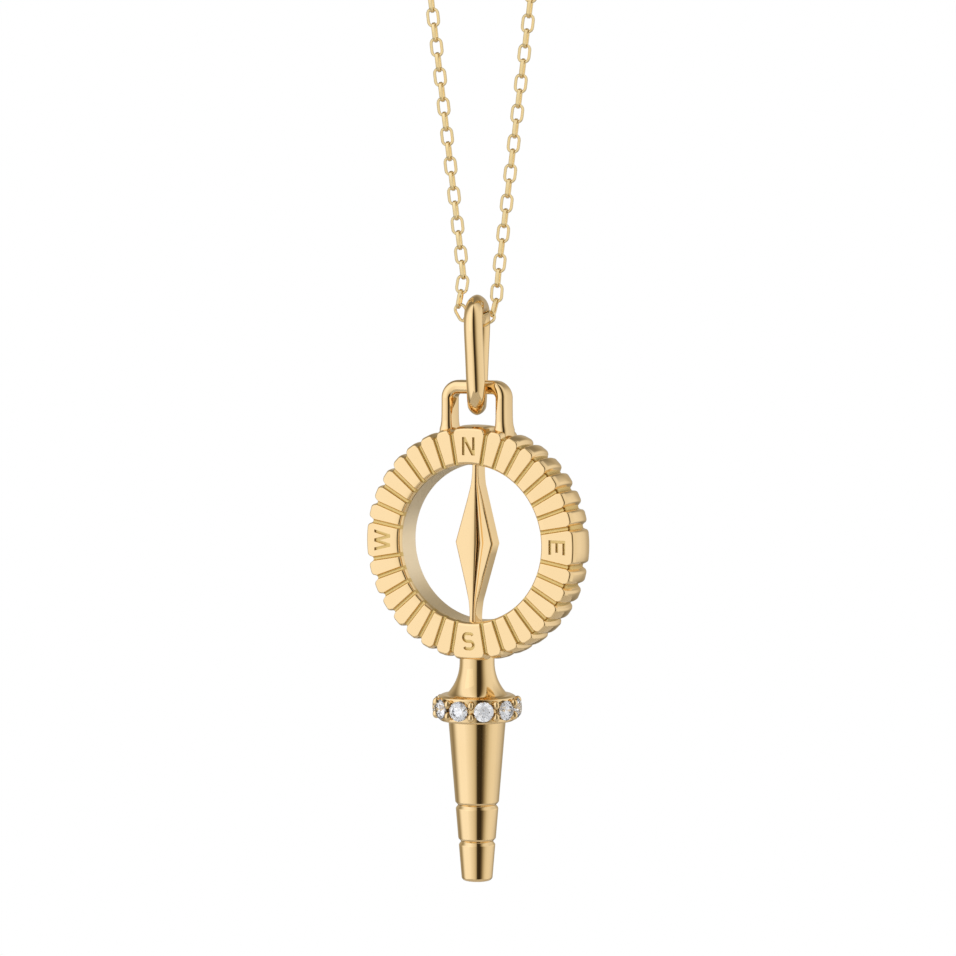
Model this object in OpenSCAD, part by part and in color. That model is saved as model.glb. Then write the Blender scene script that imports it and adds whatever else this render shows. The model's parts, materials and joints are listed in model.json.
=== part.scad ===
// Compass pendant on a fine cable chain, in millimetres.
// The necklace hangs from the origin: the chain loop lies in the X-Z plane, the bail in the Y-Z plane.
// The drop faces -Y, turned a little about Z as it settled.

/* [Chain] */
// Length of the whole loop, clasp included
chain_length = 450; // [400:10:600]
// Angle of each strand from straight down
strand_angle = 6.8; // [5.5:0.1:9]
// Width of the chain, across one link
chain_w = 0.9; // [0.8:0.05:1.1]
// Play between the chain and the bail's wire
chain_gap = 0.04; // [0.03:0.01:0.15]

/* [Clasp] */
// Length of the clasp's barrel
clasp_l = 6.0; // [5:0.5:9]
// Diameter of the clasp's barrel
clasp_d = 2.4; // [2:0.1:3.5]
// Radius of each eye, at the middle of its wire
eye_r = 0.8; // [0.75:0.05:1.1]
// Diameter of an eye's wire
eye_wire = 0.5; // [0.4:0.05:0.6]

/* [Bail] */
// Diameter of the bail's wire
bail_wire = 1.45; // [1.3:0.05:1.55]
// Outer height of the bail
bail_h = 9.25; // [8.8:0.05:12]
// Radius of the arch over the chain, at the middle of the wire
bail_top_r = 2.15; // [2.0:0.05:2.5]
// Radius of the arch under the loop, at the middle of the wire
bail_low_r = 1.85; // [1.8:0.05:2.1]
// Play between the bail and the loop's bar
bail_gap = 0.18; // [0.15:0.01:0.3]

/* [Drop] */
// Turn of the drop about its vertical axis
drop_turn = -21.2; // [-24:0.2:-10]

/* [Compass ring] */
// Outer diameter of the ring
ring_d = 18.2; // [17:0.1:20]
// Diameter of the ring's opening
ring_hole_d = 12.1; // [11.5:0.1:13]
// Thickness of the ring, front to back
ring_t = 2.95; // [2.7:0.05:3.4]
// How far the outer wall falls away towards each face
barrel = 0.2; // [0.1:0.05:0.3]
// Width of the grooves between tiles
groove_w = 0.28; // [0.2:0.02:0.36]
// Depth of the grooves
groove_d = 0.36; // [0.2:0.02:0.5]
// Angle between neighbouring grooves
groove_step = 10; // [9,10,15]
// Width of the bevel along the opening's edges
edge_w = 0.12; // [0.08:0.02:0.2]
// Depth of that bevel
edge_d = 0.45; // [0.3:0.05:0.6]

/* [Letters] */
// Height of the four compass letters
letter_h = 1.4; // [1.2:0.05:1.6]
// Width of the letters N, E and S
letter_w = 1.1; // [0.9:0.05:1.2]
// Width of the letter W
wide_letter_w = 1.65; // [1.4:0.05:1.8]
// Width of a letter's stroke
stroke = 0.2; // [0.16:0.02:0.24]
// Depth of the engraving
engrave_d = 0.14; // [0.08:0.02:0.2]
// Distance of the letters' centres from the ring's centre
letter_r = 7.5; // [7.4:0.05:7.7]

/* [U loop] */
// Outer width of the loop
loop_w = 5.54; // [5.4:0.02:5.8]
// Width of each leg
leg_w = 0.9; // [0.7:0.05:1.0]
// Height of the bar across the top
bar_h = 1.06; // [0.9:0.01:1.12]
// Depth of the loop, front to back
loop_depth = 1.5; // [1.2:0.05:1.5]
// Clear height between the ring's top and the bar
loop_clear = 2.35; // [2.3:0.05:3.5]
// Outer radius of the loop's top corners
loop_corner_r = 1.3; // [1.0:0.05:1.5]
// Radius of the window's top corners
window_r = 0.3; // [0.2:0.05:0.5]
// Radius of the loop's long edges
loop_edge_r = 0.45; // [0.42:0.01:0.46]
// How far each leg spreads at its foot
foot_spread = 0.15; // [0.05:0.05:0.25]

/* [Needle] */
// Width of the needle at its middle
needle_w = 3.24; // [2.8:0.02:3.6]
// Width of the needle's narrow ends
needle_end_w = 0.5; // [0.46:0.02:0.7]
// Thickness of the needle, front to back
needle_t = 1.2; // [1.1:0.05:1.6]
// Depth of the valley down the needle's front
valley_d = 0.75; // [0.4:0.05:0.85]
// Distance of the valley's bottom from the needle's middle line
valley_x = 0.06; // [0.04:0.01:0.2]
// Turn of the needle from the north-south line
needle_turn = 1.2; // [0:0.2:2]

/* [Neck] */
// Radius of the neck under the ring
neck_r = 1.35; // [1.1:0.05:1.4]
// Radius of the neck's foot on the collar
neck_foot_r = 2.36; // [2.2:0.02:2.4]
// Height from the ring's edge to the collar
neck_h = 2.64; // [2.4:0.05:4]
// Height of the neck's straight part
neck_straight_h = 0.15; // [0.1:0.05:0.5]

/* [Collar and stones] */
// Number of stones round the collar
stone_n = 10; // [9:1:10]
// Diameter of a stone
stone_d = 1.55; // [1.4:0.05:1.6]
// Distance of the stones' girdles from the axis
girdle_r = 3.17; // [3.12:0.01:3.3]
// Radius of the collar's wall behind the stones
collar_r = 2.95; // [2.85:0.01:3.0]
// Height of the collar
collar_h = 2.0; // [1.95:0.05:2.4]
// Radius of the bead on each prong
bead_r = 0.26; // [0.22:0.01:0.28]
// Distance of each bead from the stones' middle line
bead_z = 0.46; // [0.42:0.01:0.52]
// Play between a stone and its seat
seat_gap = 0.03; // [0.02:0.01:0.05]

/* [Spike] */
// Length of the spike under the collar
spike_h = 12.5; // [10:0.1:16]
// Radius of the spike at its top
spike_top_r = 2.22; // [2.0:0.02:2.3]
// Radius of the spike at its tip
spike_tip_r = 1.18; // [1.0:0.02:1.3]
// Height of the first groove above the tip
spike_groove_1 = 5.9; // [5:0.1:6.5]
// Height of the second groove above the tip
spike_groove_2 = 3.05; // [2.5:0.05:3.6]
// Width of each groove
spike_groove_w = 0.5; // [0.3:0.05:0.6]
// Depth of each groove
spike_groove_d = 0.2; // [0.1:0.02:0.3]
// Radius of the tip's edge
tip_edge_r = 0.3; // [0.2:0.05:0.4]

/* [Hidden] */
$fn = 96;
sink = 0.4;             // how far a soldered part reaches into its neighbour
over = 1;               // how far a cutter runs past what it cuts
weld = 0.1;             // how far the bail's straight sides reach into its arches
side_trim = 0.02;       // how much slimmer those sides are than the arches
arris_w = 0.04;         // flat left on the needle's front, along its right edge

// Proportions of a round brilliant, as shares of its diameter
table_share = 0.57;
crown_share = 0.15;
girdle_share = 0.02;
pavilion_share = 0.43;
star_r_share = 0.80;    // star facets' points, as a share of the girdle's radius
lower_r_share = 0.25;   // lower facets' points, as a share of the girdle's radius

// The chain's route: an arc over the top, two straight strands and a turn under the bail's wire
turn_r = bail_wire / 2 + chain_gap + chain_w / 2;
phi = strand_angle * PI / 180;
top_r = (chain_length + 2 * turn_r / tan(strand_angle) - turn_r * (PI - 2 * phi))
    / (2 / tan(strand_angle) + PI + 2 * phi);
clasp_z = clasp_d / 2;
eye_x = clasp_l / 2 + eye_r;
top_z = clasp_z - sqrt(top_r * top_r - eye_x * eye_x);
turn_z = top_z - (top_r - turn_r) / sin(strand_angle);
chain_end_x = eye_x + eye_r + eye_wire / 2 + chain_gap;
chain_end_angle = asin(chain_end_x / top_r);
strand_normal = 90 + strand_angle;
arc_steps = 14;
strand_steps = 7;
turn_steps = 14;
tube_sides = 8;

// The bail hangs on the turn, and the loop's bar hangs in the bail's low arch
bail_top_z = turn_z - bail_top_r;
bail_low_z = bail_top_z - (bail_h - bail_wire - bail_top_r - bail_low_r);
bail_tilt = asin((bail_top_r - bail_low_r) / (bail_top_z - bail_low_z));
ring_r = ring_d / 2;
bar_low_z = ring_r + loop_clear;
loop_top_z = bar_low_z + bar_h;
drop_z = bail_low_z - bail_low_r + bail_wire / 2 + bail_gap - bar_low_z;

// The ring's wall is an arc in section
ring_half_t = ring_t / 2;
barrel_r = (ring_half_t * ring_half_t + barrel * barrel) / (2 * barrel);
groove_n = round(360 / groove_step);
quarter_n = round(90 / groove_step);

// The stem under the ring, from the neck to the tip
collar_z = -ring_r - neck_h;
stone_z = collar_z - collar_h / 2;
spike_z = collar_z - collar_h;
tip_z = spike_z - spike_h;
spike_taper = (spike_top_r - spike_tip_r) / spike_h;

// One ring of the chain's tube: x and z of its centre, and the angle of its outward normal from +Z
function on_circle(r, z, a) = [r * sin(a), z + r * cos(a), a];
function mix(p, q, t) = [for (i = [0:2]) p[i] + (q[i] - p[i]) * t];
function half_route() = concat(
    [for (i = [0:arc_steps])
        on_circle(top_r, top_z, chain_end_angle + (strand_normal - chain_end_angle) * i / arc_steps)],
    [for (i = [1:strand_steps - 1])
        mix(on_circle(top_r, top_z, strand_normal), on_circle(turn_r, turn_z, strand_normal), i / strand_steps)]
);
function turn_route() =
    [for (i = [0:turn_steps])
        on_circle(turn_r, turn_z, strand_normal + (360 - 2 * strand_normal) * i / turn_steps)];
function mirrored(route) = [for (i = [len(route) - 1:-1:0]) [-route[i][0], route[i][1], 360 - route[i][2]]];
function tube_ring(p, r) =
    [for (i = [0:tube_sides - 1]) let (t = 360 * i / tube_sides)
        [p[0] + r * cos(t) * sin(p[2]), r * sin(t), p[1] + r * cos(t) * cos(p[2])]];
function tube_faces(rings) = concat(
    [[for (i = [0:tube_sides - 1]) i]],
    [for (j = [0:rings - 2]) for (i = [0:tube_sides - 1])
        [j * tube_sides + i, (j + 1) * tube_sides + i,
         (j + 1) * tube_sides + (i + 1) % tube_sides, j * tube_sides + (i + 1) % tube_sides]],
    [[for (i = [tube_sides - 1:-1:0]) (rings - 1) * tube_sides + i]]
);

// The chain, as a tube of its own width
module chain() {
    route = concat(half_route(), turn_route(), mirrored(half_route()));
    color("gold")
        polyhedron(
            points = [for (p = route) each tube_ring(p, chain_w / 2)],
            faces = tube_faces(len(route)),
            convexity = 6);
}

// A barrel with a wire eye at each end, on the chain's line
module clasp() {
    color("gold") translate([0, 0, clasp_z]) {
        rotate([0, 90, 0]) rotate_extrude() clasp_profile();
        for (side = [-1, 1])
            translate([side * eye_x, 0, 0]) rotate([90, 0, 0]) rotate_extrude()
                translate([eye_r, 0]) circle(d = eye_wire);
    }
}
module clasp_profile() {
    intersection() {
        translate([0, -clasp_l / 2]) square([clasp_d / 2, clasp_l]);
        translate([clasp_d / 2 - clasp_l, 0]) circle(r = clasp_l);
    }
}

// Moves a shape drawn in X and Y into the bail's plane, Y and Z
module in_bail_plane() {
    rotate([90, 0, 90]) children();
}
module wire_arc(r, wire, start, sweep) {
    rotate([0, 0, start]) rotate_extrude(angle = sweep) translate([r, 0]) circle(d = wire);
}
// The long wire loop between the chain and the drop
module bail() {
    tangent_y = bail_low_r * cos(bail_tilt);
    tangent_z = bail_low_z - bail_low_r * sin(bail_tilt);
    side_l = (bail_top_z - bail_low_z) * cos(bail_tilt);
    color("gold") {
        translate([0, 0, bail_top_z]) in_bail_plane()
            wire_arc(bail_top_r, bail_wire, -bail_tilt, 180 + 2 * bail_tilt);
        translate([0, 0, bail_low_z]) in_bail_plane()
            wire_arc(bail_low_r, bail_wire, 180 + bail_tilt, 180 - 2 * bail_tilt);
        for (side = [-1, 1])
            translate([0, side * tangent_y, tangent_z]) rotate([-side * bail_tilt, 0, 0])
                translate([0, 0, -weld]) cylinder(d = bail_wire - side_trim, h = side_l + 2 * weld);
    }
}

// Puts a shape made about the ring's centre where the drop hangs
module place_drop() {
    translate([0, 0, drop_z]) rotate([0, 0, drop_turn]) children();
}
// Turns a shape drawn in X and Y upright, with its thickness towards -Y
module upright() {
    rotate([90, 0, 0]) children();
}

// The ring's section, shrunk by a margin on its faces and its outer wall
module ring_section(inner_r, margin) {
    intersection() {
        translate([inner_r, -ring_half_t + margin])
            square([ring_r - margin - inner_r, ring_t - 2 * margin]);
        translate([ring_r - barrel_r, 0]) circle(r = barrel_r - margin);
    }
}
module edge_bevel(side) {
    hole_r = ring_hole_d / 2;
    polygon([
        [hole_r - over, side * (ring_half_t + over)],
        [hole_r + edge_w, side * (ring_half_t + over)],
        [hole_r + edge_w, side * ring_half_t],
        [hole_r, side * (ring_half_t - edge_d)],
        [hole_r - over, side * (ring_half_t - edge_d)],
    ]);
}
// Ring of raised tiles with a wide tile at each point of the compass
module compass_ring() {
    hole_r = ring_hole_d / 2;
    upright() difference() {
        rotate_extrude() difference() {
            ring_section(hole_r, 0);
            edge_bevel(1);
            edge_bevel(-1);
        }
        difference() {
            for (i = [0:groove_n - 1])
                if (i % quarter_n != 0)
                    rotate([0, 0, i * groove_step])
                        translate([hole_r - over / 2, -groove_w / 2, -ring_half_t - over])
                            cube([ring_r - hole_r + over, groove_w, ring_t + 2 * over]);
            rotate_extrude() ring_section(0, groove_d);
        }
    }
}

// The four letters are drawn about their own centres
module bar_between(p, q) {
    run = q - p;
    translate(p) rotate(atan2(run[1], run[0])) translate([0, -stroke / 2]) square([norm(run), stroke]);
}
module letter_n() {
    x = letter_w / 2;
    y = letter_h / 2;
    for (side = [-1, 1])
        translate([side * (x - stroke / 2) - stroke / 2, -y]) square([stroke, letter_h]);
    polygon([[-x, y], [-x + stroke, y], [x, -y], [x - stroke, -y]]);
}
module letter_e() {
    x = letter_w / 2;
    y = letter_h / 2;
    translate([-x, -y]) square([stroke, letter_h]);
    for (level = [-1, 0, 1])
        translate([-x, level * (y - stroke / 2) - stroke / 2])
            square([letter_w * (level == 0 ? 0.85 : 1), stroke]);
}
module half_bow(r) {
    difference() {
        circle(r = r + stroke / 2);
        circle(r = r - stroke / 2);
        translate([0, -r - over]) square([r + over, 2 * (r + over)]);
    }
}
module letter_s() {
    bow_r = (letter_h - stroke) / 4;
    bow_x = letter_w / 2 - bow_r - stroke / 2;
    for (turn = [0, 180]) rotate(turn) {
        translate([-bow_x, bow_r]) half_bow(bow_r);
        translate([-bow_x - stroke / 8, 2 * bow_r - stroke / 2]) square([2 * bow_x + bow_r, stroke]);
        translate([-bow_x - stroke / 8, -stroke / 2]) square([bow_x + stroke / 4, stroke]);
    }
}
module letter_w() {
    x = (wide_letter_w - stroke) / 2;
    y = letter_h / 2;
    lean = x / 2;
    polygon([[-x - stroke / 2, y], [-x + stroke / 2, y], [-lean + stroke / 2, -y], [-lean - stroke / 2, -y]]);
    polygon([[-stroke / 2, y], [stroke / 2, y], [-lean + stroke / 2, -y], [-lean - stroke / 2, -y]]);
    polygon([[-stroke / 2, y], [stroke / 2, y], [lean + stroke / 2, -y], [lean - stroke / 2, -y]]);
    polygon([[x - stroke / 2, y], [x + stroke / 2, y], [lean + stroke / 2, -y], [lean - stroke / 2, -y]]);
}
module letter_cut(angle) {
    upright() rotate([0, 0, angle - 90]) translate([0, letter_r, ring_half_t - engrave_d])
        linear_extrude(engrave_d + over) children();
}
// Each letter's top points away from the ring's centre
module letters() {
    letter_cut(0) letter_e();
    letter_cut(90) letter_n();
    letter_cut(180) letter_w();
    letter_cut(270) letter_s();
}

// A rectangle with all four corners rounded, about its centre
module rounded_rect(w, h, r) {
    square([w - 2 * r, h], center = true);
    square([w, h - 2 * r], center = true);
    for (sx = [-1, 1]) for (sy = [-1, 1])
        translate([sx * (w / 2 - r), sy * (h / 2 - r)]) circle(r = r);
}
// The loop's front view: a bar on two legs whose feet spread on the ring
module loop_outline() {
    foot_z = sqrt(ring_r * ring_r - loop_w * loop_w / 4) - sink;
    mid_z = (foot_z + loop_top_z) / 2;
    window_w = loop_w - 2 * leg_w;
    difference() {
        union() {
            translate([0, mid_z]) rounded_rect(loop_w, loop_top_z - foot_z, loop_corner_r);
            translate([-loop_w / 2, foot_z]) square([loop_w, loop_top_z - loop_corner_r - foot_z]);
            for (side = [0, 1])
                mirror([side, 0])
                    polygon([
                        [loop_w / 2 - leg_w / 2, foot_z],
                        [loop_w / 2 + foot_spread, foot_z],
                        [loop_w / 2, foot_z + sink + 2 * leg_w],
                        [loop_w / 2 - leg_w / 2, foot_z + sink + 2 * leg_w],
                    ]);
        }
        translate([0, bar_low_z - ring_r]) rounded_rect(window_w, 2 * ring_r, window_r);
    }
}
// Cuts away one long lower edge of the bar, to leave it round
module bar_edge_cut(side) {
    r = loop_edge_r;
    window_w = loop_w - 2 * leg_w;
    translate([-window_w / 2, side * loop_depth / 2, bar_low_z]) rotate([90, 0, 90])
        linear_extrude(window_w) difference() {
            translate([side > 0 ? -r : -over, -over]) square(r + over);
            translate([-side * r, r]) circle(r = r);
        }
}
// Rectangular loop that the bail runs through
module u_loop() {
    tall = 2 * loop_top_z;
    difference() {
        intersection() {
            translate([0, loop_depth / 2, 0]) upright() linear_extrude(loop_depth) loop_outline();
            rotate([90, 0, 90]) translate([0, 0, -loop_w]) linear_extrude(2 * loop_w)
                rounded_rect(loop_depth, tall, loop_edge_r);
            linear_extrude(tall) rounded_rect(loop_w + 2 * foot_spread, loop_depth, loop_edge_r / 2);
        }
        bar_edge_cut(1);
        bar_edge_cut(-1);
    }
}

// Rhombus across the opening, with a valley down its front
module needle() {
    half_w = needle_w / 2;
    end_w = needle_end_w / 2;
    end_z = ring_hole_d / 2 + sink;
    taper_z = 0.74 * ring_hole_d / 2;
    reach_z = taper_z * half_w / (half_w - 1.5 * end_w);
    outline = [[end_w, end_z], [end_w, 0.92 * end_z], [1.5 * end_w, taper_z], [half_w, 0]];
    front = -needle_t / 2;
    rotate([0, needle_turn, 0]) difference() {
        translate([0, needle_t / 2, 0]) upright() linear_extrude(needle_t)
            polygon(concat(
                outline,
                [for (i = [2:-1:0]) [outline[i][0], -outline[i][1]]],
                [for (i = [0:3]) [-outline[i][0], -outline[i][1]]],
                [for (i = [2:-1:0]) [-outline[i][0], outline[i][1]]]));
        valley(half_w - arris_w, reach_z * (1 - arris_w / half_w), front);
    }
}
// The valley has a steep wall at the middle line and a wide side that climbs to the right arris
module valley(half_w, reach_z, front) {
    grow = 1 + over / valley_d;
    wall_x = valley_x - valley_x * grow;
    right_x = valley_x + (half_w - valley_x) * grow;
    polyhedron(
        points = [
            [right_x, front - over, 0],
            [wall_x, front - over, reach_z * grow], [wall_x, front - over, -reach_z * grow],
            [valley_x, front + valley_d, 0],
        ],
        faces = [[2, 1, 0], [0, 1, 3], [1, 2, 3], [2, 0, 3]]);
}

// The parts of the stem's section, drawn with the axis at x = 0 and z up the page
module neck_section() {
    flare_h = neck_h - neck_straight_h;
    grow = neck_foot_r - neck_r;
    flare_r = (flare_h * flare_h + grow * grow) / (2 * grow);
    translate([0, -ring_r - neck_straight_h]) square([neck_r, neck_straight_h + sink]);
    difference() {
        translate([0, collar_z]) square([neck_foot_r, flare_h]);
        translate([neck_r + flare_r, collar_z + flare_h]) circle(r = flare_r);
    }
}
module collar_section() {
    lip = 0.12;
    polygon([
        [0, collar_z], [collar_r - 2 * lip, collar_z], [collar_r, collar_z - lip],
        [collar_r, spike_z + lip], [collar_r - lip, spike_z], [0, spike_z],
    ]);
}
function spike_r(z) = spike_tip_r + spike_taper * (z - tip_z);
module spike_groove(height) {
    z = tip_z + height;
    half_w = spike_groove_w / 2;
    polygon([
        [spike_r(z) - spike_groove_d, z],
        [spike_r(z + half_w), z + half_w], [spike_r(z + half_w) + over, z + half_w],
        [spike_r(z - half_w) + over, z - half_w], [spike_r(z - half_w), z - half_w],
    ]);
}
module spike_section() {
    edge_z = tip_z + tip_edge_r;
    edge_x = spike_r(edge_z) - tip_edge_r;
    difference() {
        union() {
            polygon([[0, spike_z], [spike_top_r, spike_z], [spike_r(edge_z), edge_z], [0, edge_z]]);
            translate([0, tip_z]) square([edge_x, 2 * tip_edge_r]);
            translate([edge_x, edge_z]) circle(r = tip_edge_r);
        }
        spike_groove(spike_groove_1);
        spike_groove(spike_groove_2);
    }
}
// Faces a shape made along +Z outwards at one place round the collar
module at_collar(angle, r, z) {
    rotate([0, 0, angle]) translate([r, 0, z]) rotate([0, 90, 0]) children();
}
module bead_prongs() {
    root_r = collar_r - sink;
    for (i = [0:stone_n - 1]) for (side = [-1, 1])
        at_collar(stone_angle(i + 0.5), root_r, stone_z + side * bead_z) {
            cylinder(r = bead_r * 0.98, h = girdle_r - root_r);
            translate([0, 0, girdle_r - root_r]) sphere(r = bead_r);
        }
}
// The room that a stone takes, with its play, about the girdle's centre
module seat() {
    r = stone_d / 2 + seat_gap;
    low = pavilion_share * stone_d + 2 * seat_gap;
    top = (crown_share + girdle_share) * stone_d + seat_gap;
    rotate_extrude() polygon([
        [0, -low], [r, -seat_gap], [r, girdle_share * stone_d + seat_gap],
        [table_share * stone_d / 2 + 1.5 * seat_gap, top + over / 10], [0, top + over / 10],
    ]);
}
module stem() {
    difference() {
        union() {
            rotate_extrude() {
                neck_section();
                collar_section();
                spike_section();
            }
            bead_prongs();
        }
        for (i = [0:stone_n - 1])
            at_collar(stone_angle(i), girdle_r, stone_z) seat();
    }
}

// The soldered drop, in one piece
module pendant_body() {
    color("gold") place_drop() {
        difference() {
            compass_ring();
            letters();
        }
        u_loop();
        needle();
        stem();
    }
}

// Stone angles are counted from the drop's front, towards its right
stone_front_angle = 270;
function stone_angle(i) = stone_front_angle + i * 360 / stone_n;
// Points of a brilliant, about its girdle's centre, with its table towards +Z
function circle_points(n, r, z, start) =
    [for (i = [0:n - 1]) [r * cos(start + i * 360 / n), r * sin(start + i * 360 / n), z]];
function brilliant_points() =
    let (
        r = stone_d / 2,
        table_r = table_share * r,
        girdle_top = girdle_share * stone_d,
        table_z = girdle_top + crown_share * stone_d,
        star_r = star_r_share * r,
        star_z = table_z - (table_z - girdle_top) * (star_r * cos(22.5) - table_r) / (r - table_r),
        culet_z = -pavilion_share * stone_d,
        lower_r = lower_r_share * r,
        lower_z = culet_z * (1 - lower_r * cos(22.5) / r)
    )
    concat(
        circle_points(8, table_r, table_z, 0),
        circle_points(8, star_r, star_z, 22.5),
        circle_points(16, r, girdle_top, 0),
        circle_points(16, r, 0, 0),
        circle_points(8, lower_r, lower_z, 22.5),
        [[0, 0, culet_z]]
    );
function brilliant_faces() =
    let (t = 0, s = 8, g = 16, b = 32, p = 48, culet = 56)
    concat(
        [[for (i = [7:-1:0]) t + i]],
        [for (i = [0:7]) [t + i, t + (i + 1) % 8, s + i]],
        [for (i = [0:7]) [t + i, s + i, g + 2 * i]],
        [for (i = [0:7]) [t + i, g + 2 * i, s + (i + 7) % 8]],
        [for (i = [0:7]) [s + i, g + 2 * i + 1, g + 2 * i]],
        [for (i = [0:7]) [s + i, g + (2 * i + 2) % 16, g + 2 * i + 1]],
        [for (i = [0:15]) [g + i, g + (i + 1) % 16, b + (i + 1) % 16, b + i]],
        [for (i = [0:7]) [p + i, b + 2 * i, b + 2 * i + 1]],
        [for (i = [0:7]) [p + i, b + 2 * i + 1, b + (2 * i + 2) % 16]],
        [for (i = [0:7]) [culet, b + 2 * i, p + i]],
        [for (i = [0:7]) [culet, p + (i + 7) % 8, b + 2 * i]]
    );
// One round brilliant in its seat
module stone(i) {
    color("white") place_drop() at_collar(stone_angle(i), girdle_r, stone_z)
        polyhedron(points = brilliant_points(), faces = brilliant_faces(), convexity = 2);
}

chain();
clasp();
bail();
pendant_body();
stone(0);  // stone_01
stone(1);  // stone_02
stone(2);  // stone_03
stone(3);  // stone_04
stone(4);  // stone_05
stone(5);  // stone_06
stone(6);  // stone_07
stone(7);  // stone_08
stone(8);  // stone_09
stone(9);  // stone_10
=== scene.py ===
"""A compass pendant in polished gold on a fine cable chain, in a white light tent."""

import json
import math

import bmesh
import bpy
from mathutils import Matrix, Quaternion, Vector


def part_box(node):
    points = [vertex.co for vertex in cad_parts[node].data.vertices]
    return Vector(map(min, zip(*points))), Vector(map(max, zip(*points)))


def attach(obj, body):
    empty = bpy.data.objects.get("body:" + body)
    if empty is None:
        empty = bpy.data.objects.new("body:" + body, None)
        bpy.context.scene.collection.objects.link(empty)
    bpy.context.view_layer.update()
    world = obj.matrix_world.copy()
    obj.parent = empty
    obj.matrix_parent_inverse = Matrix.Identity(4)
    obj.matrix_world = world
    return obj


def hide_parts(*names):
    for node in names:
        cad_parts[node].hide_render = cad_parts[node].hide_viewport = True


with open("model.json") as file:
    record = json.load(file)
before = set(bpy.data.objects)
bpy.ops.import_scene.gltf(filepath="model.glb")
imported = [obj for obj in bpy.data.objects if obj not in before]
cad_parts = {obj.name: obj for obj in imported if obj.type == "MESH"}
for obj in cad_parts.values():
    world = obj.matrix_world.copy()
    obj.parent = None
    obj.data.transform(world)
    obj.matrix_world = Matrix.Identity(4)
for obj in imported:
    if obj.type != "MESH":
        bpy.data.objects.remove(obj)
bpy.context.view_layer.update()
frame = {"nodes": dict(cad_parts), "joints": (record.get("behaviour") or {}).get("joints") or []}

MM = 0.001
TAU = 2 * math.pi

# Where the joints of the frame say that the bail and the drop hang, in millimetres
JOINTS = {joint["name"]: joint for joint in frame["joints"]}
BAIL_TOP_Z = JOINTS["bail_swing"]["pos_m"][2] / MM
BAIL_LOW_Z = JOINTS["pendant_swing"]["pos_m"][2] / MM
SWING_AXIS = JOINTS["pendant_swing"]["axis"]
DROP_TURN = math.atan2(SWING_AXIS[1], SWING_AXIS[0])

# Points closer than this become one
MERGE_DIST = 0.0005
# How far a soldered part reaches into the one that it stands on
ROOT = 0.4
# Points on each rounded corner of a turned or cut profile, and the most of a side that it may take
PROFILE_STEPS = 4
PROFILE_REACH = 0.45

# Compass ring, in millimetres about its own centre. Its outside bulges by BARREL
RING_R = 9.1
HOLE_R = 6.05
RING_T = 2.95
BARREL = 0.2
GROOVE_W = 0.32
GROOVE_D = 0.36
FACE_GROOVE_D = 0.17
GROOVE_STEP = math.radians(10)
# The bevel round the opening: its width and depth in front, and both at the back
EDGE_W = 0.12
EDGE_D = 0.37
BACK_EDGE = 0.15
# The section of the bevel starts this many of its depths below the face, rounds the bevel's two
# edges and ends with a flat on the face
EDGE_START = 1.6
EDGE_LOW_R = 0.05
EDGE_TOP_R = 0.2
EDGE_FLAT = 0.5
# The rounding between a face and the outside, in degrees and steps
ARRIS_R = 0.17
ARRIS_ARC = 78
ARRIS_STEPS = 5
TILE_CORNER_R = 0.32
TILE_EDGE_R = 0.05
# The rounding of the tiles' outer corners sets in this many radii inside the face's rim, and grows
# through these shares
CORNER_REACH = 1.3
CORNER_SHARES = (0.3, 0.6, 0.85, 1.0)
# Stations on the outside, as shares of its half thickness, and on the inner wall, in millimetres
OUTSIDE_SHARES = (-0.93, -0.8, -0.6, -0.4, -0.2, 0, 0.2, 0.4, 0.6, 0.8, 0.93)
INNER_WALL_DEPTHS = (0.8, 0.4, 0.0, -0.4)
# The inner wall's bands of quads, counted from the end of the ring's section
INNER_WALL_BANDS = 6
# A groove's section: place across in half widths, and share of its depth
GROOVE_SECTION = ((-1, 0.4), (-0.75, 0.78), (-0.4, 0.96), (0, 1.0), (0.4, 0.96), (0.75, 0.78), (1, 0.4))
# The top of a groove's wall: inset in edge radii, drop in corner radii, and share of its depth
GROOVE_WALL_TOP = ((0.1, 1.0, 0.16), (0.45, 0.9, 0.04))
# Lines along a tile's rounded corner, in degrees, and across its middle and a wide tile's
CORNER_TURNS = (80, 60, 40, 20, 0)
TILE_SHARES = (0.5,)
WIDE_TILE_SHARES = (0.15, 0.3, 0.5, 0.7, 0.85)

# Letters, with their middle at LETTER_R from the ring's centre
LETTER_H = 1.4
LETTER_W = 1.1
WIDE_LETTER_W = 1.65
STROKE = 0.23
ENGRAVE_D = 0.16
LETTER_R = 7.5
OVERCUT = 0.3
# The N's diagonal in strokes, the E's shorter middle bar, and where the S ends in radii of its bows
N_DIAGONAL = 1.25
E_STEP = 0.17
S_END_X = 0.7
S_END_Y = 1.55
S_END_TURN = 60
S_END_STEPS = 3
S_BOW_STEPS = 14

# U loop
LOOP_W = 5.54
LEG_W = 0.9
BAR_H = 1.06
LEG_DEPTH = 1.75
BAR_DEPTH = 1.5
LOOP_CLEAR = 2.35
LOOP_CORNER_R = 1.3
WINDOW_R = 0.4
LOOP_EDGE_R = 0.46
LOOP_EDGE_STEPS = 7
LOOP_TOP = RING_R + LOOP_CLEAR + BAR_H
# The edge's radius takes at most this share of the half width
LOOP_EDGE_SHARE = 0.86
LOOP_TURN_STEPS = 14
# Sections of the bar, as shares of the way from its middle to its corner
BAR_SHARES = (0.66, 0.33)
# The feet: share of the leg's height, and how far they spread there outwards. Inwards and in depth
# they spread by these shares of it
LOOP_FOOT = ((0.0, 0.17), (0.16, 0.15), (0.26, 0.08), (0.36, 0.03), (0.5, 0.01), (0.75, 0.0))
FOOT_INWARDS = 0.8
FOOT_DEEP = 0.6

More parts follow.
